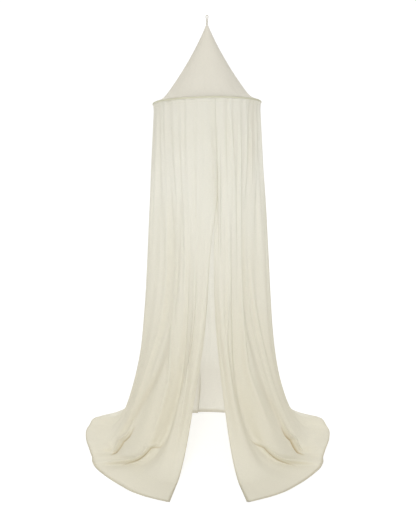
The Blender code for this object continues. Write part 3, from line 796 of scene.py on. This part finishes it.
def cloth_material(name, one, other, threads_per_metre, bump, light_through, sheen, shades=()):
    """Woven cloth that lets some light through, with uneven threads and a faint drift of colour.

    It is painted darker or lighter by the mesh's share of painted shade and highlight on its folds. A mesh
    that has none is painted at the light end all over.
    """
    made, shader = new_material(name, {"Roughness": CLOTH_ROUGHNESS, "Sheen Weight": sheen})
    add, link = node_maker(made)
    colour = tinted(add, link, one, other, scale=3.0, detail=3.0, low=0.35, high=0.65)
    for attribute, shade_colour in shades:
        colour = mixed_by(add, link, colour, shade_colour, attribute)
    height = weave_height(add, link, threads_per_metre)
    colour = scaled(add, link, colour, mapped(add, link, height, WEAVE_HEIGHTS, WEAVE_TINTS))
    # Painted shade and highlight, from the mesh's share for its folds
    density = add("ShaderNodeAttribute", attribute_name="density").outputs["Fac"]
    lit_to_shaded = (1.0 + FOLD_SHADE_TINT, 1.0 - FOLD_SHADE_TINT)
    colour = scaled(add, link, colour, mapped(add, link, density, (0.0, 1.0), lit_to_shaded))
    link(colour, shader.inputs["Base Color"])
    normal = raised_by(add, link, shader, height, bump, WEAVE_DEPTH)
    through = add("ShaderNodeBsdfTranslucent")
    link(colour, through.inputs["Color"])
    link(normal, through.inputs["Normal"])
    blend = add("ShaderNodeMixShader", {0: light_through})
    link(shader.outputs[0], blend.inputs[1])
    link(through.outputs[0], blend.inputs[2])
    link(blend.outputs[0], made.node_tree.nodes["Material Output"].inputs["Surface"])
    return made


def cord_material(name, one, other):
    """Spun cotton: fine fibres along the yarn and a drift of colour."""
    made, shader = new_material(name, {"Roughness": 0.9, "Sheen Weight": 0.3})
    add, link = node_maker(made)
    colour = tinted(add, link, one, other, scale=220.0, detail=4.0, low=0.45, high=0.75)
    link(colour, shader.inputs["Base Color"])
    fibres = noise_over(add, link, scale=2600.0, detail=4.0)
    raised_by(add, link, shader, fibres, strength=0.5, depth=FIBRE_DEPTH)
    return made


def hoop_material():
    """Plain white plastic, faintly scuffed."""
    made, shader = new_material("hoop_plastic", {})
    add, link = node_maker(made)
    colour = tinted(add, link, HOOP_COLOUR, HOOP_SCUFFED, scale=30.0, detail=5.0, low=0.5, high=0.8)
    link(colour, shader.inputs["Base Color"])
    scuffs = noise_over(add, link, scale=400.0, detail=2.0)
    link(mapped(add, link, scuffs, (0.0, 1.0), HOOP_ROUGHNESS), shader.inputs["Roughness"])
    return made


def floor_material():
    """A floor that glows a little, so that it shows no edge against the room."""
    made, _ = new_material(
        "floor",
        {
            "Base Color": FLOOR_COLOUR,
            "Roughness": FLOOR_ROUGHNESS,
            "Specular IOR Level": 0.0,
            "Emission Color": WHITE,
            "Emission Strength": FLOOR_EMISSION,
        },
    )
    return made


def curtain_stops():
    """Places across and along the cloth, closer together where it folds and meets the floor."""
    even = np.linspace(0.0, 1.0, CURTAIN_COLUMNS + 1)
    across = smooth_values(*zip(*COLUMN_SPACING), even)
    across = np.unique(np.concatenate((across, np.linspace(*BACK_PLEAT, BACK_PLEAT_COLUMNS))))
    even = np.linspace(0.0, 1.0, CURTAIN_ROWS + 1)
    return across, smooth_values(*zip(*ROW_SPACING), even)


def make_curtain(finish):
    """The curtain with its hem and its front edges turned in, as one cloth."""
    columns, rows = curtain_stops()
    turned = np.array(TURN_ROWS)
    layer = np.ones(len(turned))
    edge_turn = turned * EDGE_TURN_DEPTH / CURTAIN_WIDTH
    hem_turn = turned * HEM_DEPTH / CURTAIN_LENGTH
    all_columns = np.concatenate((edge_turn, columns, 1.0 - edge_turn[::-1]))
    all_rows = np.concatenate((rows, 1.0 - hem_turn[::-1]))
    edge_layer = np.concatenate((layer, np.zeros(len(columns)), layer))
    hem_layer = np.concatenate((np.zeros(len(rows)), layer))
    across, along = (grid.ravel() for grid in np.meshgrid(all_columns, all_rows))
    inside = HEM_GAP * np.maximum(*np.meshgrid(edge_layer, hem_layer)).ravel()
    points = curtain_points(across, along, inside)
    even = np.arange(len(all_columns)) / len(all_columns) * CURTAIN_WIDTH
    u, v = np.meshgrid(even, np.concatenate((rows, 1.0 + hem_turn)) * CURTAIN_LENGTH)
    uvs = np.stack((u.ravel(), v.ravel()), axis=1)
    faces = grid_faces(len(all_rows), len(all_columns))
    _, _, crease_shade = ridge_heights(across, along)
    lower = np.clip((FLOOR_SHADE_FROM - points[:, 2]) / FLOOR_SHADE_OVER, 0.0, 1.0)
    backward = np.clip((BACK_SHARE - np.abs(across - 0.5)) / BACK_FADE, 0.0, 1.0)
    shades = {
        # Painted shade in the tight creases, the broad troughs and at the top of the right side
        "crease_shade": np.clip(crease_shade, 0.0, 1.0),
        # Painted shade: darker, warmer muslin towards the floor
        "floor_shade": lower * (1.0 - backward),
        # Painted shade at the back behind the opening, close to the floor
        "shaded": lower**BACK_SHADE_POWER * backward,
        # Painted shade in the valleys and at the sides, painted highlight where the cloth stands out
        "density": fold_shade_share(across, along),
    }
    return mesh_piece("curtain_cloth", points, faces, finish, uvs, shades)


def surface_line(across, along):
    """Points of a line over the curtain, with the directions out of the cloth."""
    sideways, down = surface_slopes(curtain_points, across, along)
    return curtain_points(across, along), unit(np.cross(sideways, down))


def stitch_row(points, outward):
    """Points and faces of a row of short raised stitches along a line."""
    reach = distances(points)
    starts = np.arange(0.5 * STITCH_PITCH, reach[-1] - STITCH_PITCH, STITCH_PITCH)
    rings = []
    for share, rise in STITCH_ARCH:
        at = starts + share * STITCH_LENGTH
        centre = along_path(at, reach, points)
        up = unit(along_path(at, reach, outward))
        ahead = along_path(at + STITCH_AHEAD, reach, points)
        side = unit(np.cross(unit(ahead - centre), up))
        centre += up * rise
        rings.append([centre + THREAD_RADIUS * d for d in (side, up, -side, -up)])
    stitches = np.array(rings).transpose(2, 0, 1, 3).reshape(len(starts), -1, 3)
    faces = [face[::-1] for face in tube_faces(len(STITCH_ARCH), 4)]
    return joined([(stitch, faces) for stitch in stitches])


def stitch_piece(name, lines, finish):
    """Several rows of stitches as one piece."""
    return mesh_piece(name, *joined([stitch_row(*line) for line in lines]), finish)


def make_curtain_sewing(finish):
    """Stitches that hold the hem, the two turned edges and the gathered top."""
    across = np.linspace(*SEWN_ACROSS)
    along = np.linspace(*SEWN_ALONG)
    hem_line = 1.0 - HEM_SEAM_SHARE * HEM_DEPTH / CURTAIN_LENGTH
    edge_line = EDGE_SEAM_SHARE * EDGE_TURN_DEPTH / CURTAIN_WIDTH
    lines = [
        surface_line(across, np.full_like(across, hem_line)),
        surface_line(np.full_like(along, edge_line), along),
        surface_line(np.full_like(along, 1.0 - edge_line), along),
        surface_line(across, np.full_like(across, TOP_SEAM_LINE)),
    ]
    return stitch_piece("curtain_sewing", lines, finish)


def roof_radius(rise):
    """The roof's radius at heights above the hoop's centre."""
    down = np.maximum(0.0, (ROOF_RISE - rise) / (ROOF_RISE - CASING_RADIUS - CLOTH_GAP))
    widening = ROOF_STRAIGHT_SHARE + ROOF_CURVED_SHARE * down + ROOF_FLARE_SHARE * down**ROOF_FLARE_POWER
    return ROOF_TOP_RADIUS + (HOOP_RADIUS - ROOF_TOP_RADIUS) * widening * down


def roof_points(turn, rise):
    """Points on the roof's cloth. turn: radians round it, from the back."""
    down = (ROOF_RISE - rise) / ROOF_RISE
    pulls = np.zeros_like(turn)
    for pull in named(ROOF_PULLS, ROOF_PULL_COLUMNS):
        wave = np.sin(pull["waves"] * turn + pull["phase"] + pull["bend"] * down)
        pulls += pull["height"] * wave
    near_hoop = down**3
    near_top = np.exp(-((down / ROOF_PLEAT_REACH) ** 2))
    bend, bend_waves = ROOF_PLEAT_BEND
    pleats = ROOF_PLEAT_HEIGHT * np.cos(ROOF_PLEATS * turn + bend * np.sin(bend_waves * turn)) * near_top
    away = np.angle(np.exp(1j * turn)) * roof_radius(rise)
    seam = ROOF_SEAM_HEIGHT * np.exp(-((away / ROOF_SEAM_WIDTH) ** 4))
    radius = roof_radius(rise) + pulls * near_hoop + pleats + seam
    x, y = radius * np.sin(turn), radius * np.cos(turn)
    z = rise + hoop_tilt(x, y) + HOOP_HEIGHT - HANG_HEIGHT
    return np.stack((x, y, z), axis=1)


def make_roof(finish):
    """The cone of plain cotton, with a seam down its back and small pleats at its point."""
    turns = np.linspace(0.0, math.tau, ROOF_COLUMNS, endpoint=False)
    lowest = CASING_RADIUS + CLOTH_GAP
    rises = ROOF_RISE - (ROOF_RISE - lowest) * np.linspace(0.0, 1.0, ROOF_ROWS + 1)
    turn, rise = np.meshgrid(turns, rises)
    points = roof_points(turn.ravel(), rise.ravel())
    uvs = np.stack((turn.ravel() * ROOF_WEAVE_RADIUS, rise.ravel()), axis=1)
    faces = [face[::-1] for face in grid_faces(len(rises), len(turns), closed=True)]
    return mesh_piece("roof_cloth", points, faces, finish, uvs)


def roof_line(turn, rise, up):
    """Points of a line over the roof, with the directions out of the cloth."""
    points = roof_points(turn, rise)
    return points, unit(points * (1.0, 1.0, 0.0) + (0.0, 0.0, up))


def make_roof_sewing(finish):
    """Two rows of stitches beside the seam, and one above the casing."""
    below_top, above_casing = ROOF_SEAM_ENDS
    rise = np.linspace(ROOF_RISE - below_top, CASING_RADIUS + above_casing, ROOF_SEAM_STEPS)
    beside = ROOF_SEAM_ROW / np.maximum(roof_radius(rise), ROOF_SEAM_ROW)
    round_roof = np.linspace(0.0, math.tau, ROOF_TOPSTITCH_STEPS)
    lines = [
        roof_line(-beside, rise, ROOF_SEAM_UP),
        roof_line(beside, rise, ROOF_SEAM_UP),
        roof_line(round_roof, np.full_like(round_roof, CASING_RADIUS + ROOF_TOPSTITCH), ROOF_TOPSTITCH_UP),
    ]
    return stitch_piece("roof_sewing", lines, finish)


def onto_hoop(points):
    """Moves points from a level hoop at the origin to the tilted one."""
    tilt = Euler((-HOOP_FRONT_UP, -HOOP_RIGHT_UP, 0.0)).to_matrix()
    return points @ np.array(tilt).T + (0.0, 0.0, HOOP_HEIGHT - HANG_HEIGHT)


def pucker_share(turn):
    """How the casing's puckers rise and fall round the hoop."""
    total = np.zeros_like(turn)
    for pucker in named(PUCKERS, PUCKER_COLUMNS):
        bend = pucker["bend"] * np.sin(pucker["bend_waves"] * turn)
        total += pucker["share"] * np.sin(pucker["waves"] * turn + bend)
    return total


def make_casing(finish):
    """The sewn tunnel round the hoop, puckered by its stitching and open along its inner side."""
    turns = np.linspace(0.0, math.tau, CASING_COLUMNS, endpoint=False)
    angles = np.linspace(math.pi + CASING_SLIT / 2.0, 3.0 * math.pi - CASING_SLIT / 2.0, CASING_ROWS + 1)
    turn, angle = (grid.ravel() for grid in np.meshgrid(turns, angles))
    at_seams = PUCKER_LEAST + (1.0 - PUCKER_LEAST) * np.abs(np.sin(angle)) ** SEAM_SHARPNESS
    radius = CASING_RADIUS - PUCKER_DEPTH * (1.0 + PUCKER_SWING * pucker_share(turn) * at_seams)
    across = HOOP_RADIUS + radius * np.cos(angle)
    points = np.stack((across * np.sin(turn), across * np.cos(turn), radius * np.sin(angle)), axis=1)
    uvs = np.stack((turn * HOOP_RADIUS, angle * CASING_RADIUS), axis=1)
    faces = grid_faces(len(angles), len(turns), closed=True)
    from_shade = np.abs(angle - CASING_SHADE_AT) / CASING_SHADE_SPREAD
    # Painted shade: a darker band along the casing's outer side, where roof and casing meet
    shades = {"seam": np.clip(1.0 + CASING_SHADE_CORE - from_shade, 0.0, 1.0)}
    return mesh_piece("casing_cloth", onto_hoop(points), faces, finish, uvs, shades)


def loop_path():
    """The cord's middle line: up one leg from the knot, round the eye and down the other leg."""
    top = -LOOP_CORD_RADIUS
    eye_base = top - LOOP_EYE_HEIGHT
    u = np.linspace(0.0, 1.0, LOOP_EYE_STEPS)
    widen = (LOOP_EYE_SPREAD - LOOP_LEG_SPREAD) * np.sin(u * math.pi / 2.0) ** 2
    straight_z = np.linspace(KNOT_Z, eye_base, LOOP_LEG_STEPS, endpoint=False)
    leg_x = np.concatenate((np.full(LOOP_LEG_STEPS, LOOP_LEG_SPREAD), LOOP_LEG_SPREAD + widen))
    leg_z = np.concatenate((straight_z, eye_base + (LOOP_EYE_HEIGHT - LOOP_EYE_SPREAD) * u))
    bend = np.radians(np.arange(LOOP_BEND_STEP, 180.0, LOOP_BEND_STEP))
    bend_x = LOOP_EYE_SPREAD * np.cos(bend)
    bend_z = top - LOOP_EYE_SPREAD * (1.0 - np.sin(bend))
    x = np.concatenate((leg_x, bend_x, -leg_x[::-1]))
    z = np.concatenate((leg_z, bend_z, leg_z[::-1]))
    return np.stack((x, np.zeros_like(x), z), axis=1)


def knot_path():
    """A small overhand knot, closed to a trefoil, inside the point of the roof."""
    t = np.linspace(0.0, math.tau, KNOT_STEPS, endpoint=False)
    x = np.sin(t) + 2.0 * np.sin(2.0 * t)
    y = np.cos(t) - 2.0 * np.cos(2.0 * t)
    z = -KNOT_HEIGHT * np.sin(3.0 * t)
    return np.stack((x, y, z), axis=1) * KNOT_SCALE + (0.0, 0.0, KNOT_Z)


def twisted_cord(path):
    """Points and faces of three strands wound round a path."""
    path_reach = distances(path)
    reach = np.linspace(0.0, path_reach[-1], int(path_reach[-1] / STRAND_STEP))
    points = along_path(reach, path_reach, path)
    ahead = unit(np.gradient(points, axis=0))
    side = unit(np.cross(ahead, LOOP_AWAY))
    over = np.cross(ahead, side)
    sides = np.radians(np.arange(STRAND_SIDES) * 360.0 / STRAND_SIDES)
    strands = []
    for strand in range(CORD_STRANDS):
        turn = math.tau * (reach / CORD_TWIST + strand / CORD_STRANDS)
        away = side * np.cos(turn)[:, None] + over * np.sin(turn)[:, None]
        centre = points + away * STRAND_OFFSET
        round_it = np.cross(ahead, away)
        rings = [centre + STRAND_RADIUS * (away * math.cos(s) + round_it * math.sin(s)) for s in sides]
        strands.append((np.stack(rings, axis=1).reshape(-1, 3), tube_faces(len(points), STRAND_SIDES)))
    return joined(strands)


def make_loop(finish):
    """The twisted cord loop and its stopper knot."""
    closed_knot = np.concatenate((knot_path(), knot_path()[:1]))
    return mesh_piece("cord_loop", *joined([twisted_cord(loop_path()), twisted_cord(closed_knot)]), finish)


def add_camera():
    """The camera at the photograph's place and angle."""
    data = bpy.data.cameras.new("camera")
    data.lens = CAMERA_LENS_PX * SENSOR_MM / FRAME_HEIGHT_PX
    data.sensor_width = SENSOR_MM
    data.sensor_height = SENSOR_MM
    data.shift_x = CAMERA_SHIFT_PX / FRAME_HEIGHT_PX
    camera = placed("camera", data)
    camera.location = (0.0, -CAMERA_BACK, FLOOR + CAMERA_HEIGHT)
    camera.rotation_euler = (math.pi / 2.0 - CAMERA_DOWN, 0.0, 0.0)
    bpy.context.scene.camera = camera


def add_floor():
    data = bpy.data.meshes.new("floor")
    corners = [(x * FLOOR_REACH, y * FLOOR_REACH, FLOOR) for x, y in ((-1, -1), (1, -1), (1, 1), (-1, 1))]
    data.from_pydata(corners, [], [(0, 1, 2, 3)])
    data.materials.append(floor_material())
    placed("floor", data)


def add_light():
    """A white room that gives less light from above and the sides, and soft lamps in front and behind."""
    world = bpy.data.worlds.new("studio")
    world.use_nodes = True
    add, link = node_maker(world)
    place = add("ShaderNodeTexCoord")
    split = add("ShaderNodeSeparateXYZ")
    link(place.outputs["Generated"], split.inputs[0])
    rise = mapped(add, link, split.outputs[2], ROOM_RISE, ROOM_LIGHT)
    sideways = add("ShaderNodeMath", operation="ABSOLUTE")
    link(split.outputs[0], sideways.inputs[0])
    beside = mapped(add, link, sideways.outputs[0], ROOM_SIDE, SIDE_LIGHT, interpolation_type="SMOOTHSTEP")
    given = add("ShaderNodeMath", operation="MULTIPLY")
    link(rise, given.inputs[0])
    link(beside, given.inputs[1])
    seen = add("ShaderNodeLightPath")
    strength = add("ShaderNodeMapRange", {"To Max": BACKDROP})
    link(seen.outputs["Is Camera Ray"], strength.inputs["Value"])
    link(given.outputs[0], strength.inputs["To Min"])
    background = world.node_tree.nodes["Background"]
    background.inputs["Color"].default_value = WHITE
    link(strength.outputs[0], background.inputs["Strength"])
    bpy.context.scene.world = world
    for name, energy, spread, tilt, turn in LAMPS:
        data = bpy.data.lights.new(name, "SUN")
        data.energy = energy
        data.angle = math.radians(spread)
        lamp = placed(name, data)
        lamp.rotation_euler = (math.radians(tilt), 0.0, math.radians(turn))
    bpy.context.scene.view_settings.view_transform = "Standard"


def dress_hoop():
    """A finish for the rod, which keeps its CAD shape."""
    finish = hoop_material()
    for place in bpy.data.objects["hoop"].material_slots:
        place.material = finish


def dress_casing():
    finish = cloth_material(
        "casing_cotton", CASING_COLOUR, CASING_DARK,
        threads_per_metre=1400.0, bump=0.4, light_through=0.1, sheen=0.05,
        # Painted shade along the casing's outer side
        shades=(("seam", CASING_PAINTED_SHADE),),
    )
    casing = make_casing(finish)
    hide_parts("hoop_casing")


def dress_loop():
    loop = make_loop(cord_material("cord_cotton", CORD_COLOUR, CORD_DARK))
    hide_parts("hanging_loop")


def dress_roof(thread):
    finish = cloth_material(
        "roof_cotton", ROOF_COLOUR, ROOF_WARM,
        threads_per_metre=1400.0, bump=0.4, light_through=0.15, sheen=0.05,
    )
    roof = make_roof(finish)
    sewing = make_roof_sewing(thread)
    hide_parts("roof")


def dress_curtain(thread):
    finish = cloth_material(
        "muslin", MUSLIN_LIGHT, MUSLIN_WARM,
        threads_per_metre=900.0, bump=0.35, light_through=0.5, sheen=0.0,
        # Painted shade near the floor, in the creases and at the back behind the opening
        shades=(("floor_shade", MUSLIN_SHADED_AT_FLOOR), ("crease_shade", MUSLIN_CREASE_SHADE), ("shaded", MUSLIN_SHADE_BEHIND)),
    )
    curtain = make_curtain(finish)
    sewing = make_curtain_sewing(thread)
    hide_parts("curtain")


def build():
    add_camera()
    add_floor()
    add_light()
    thread = cord_material("thread", THREAD_COLOUR, THREAD_DARK)
    dress_hoop()
    dress_casing()
    dress_loop()
    dress_roof(thread)
    dress_curtain(thread)


build()
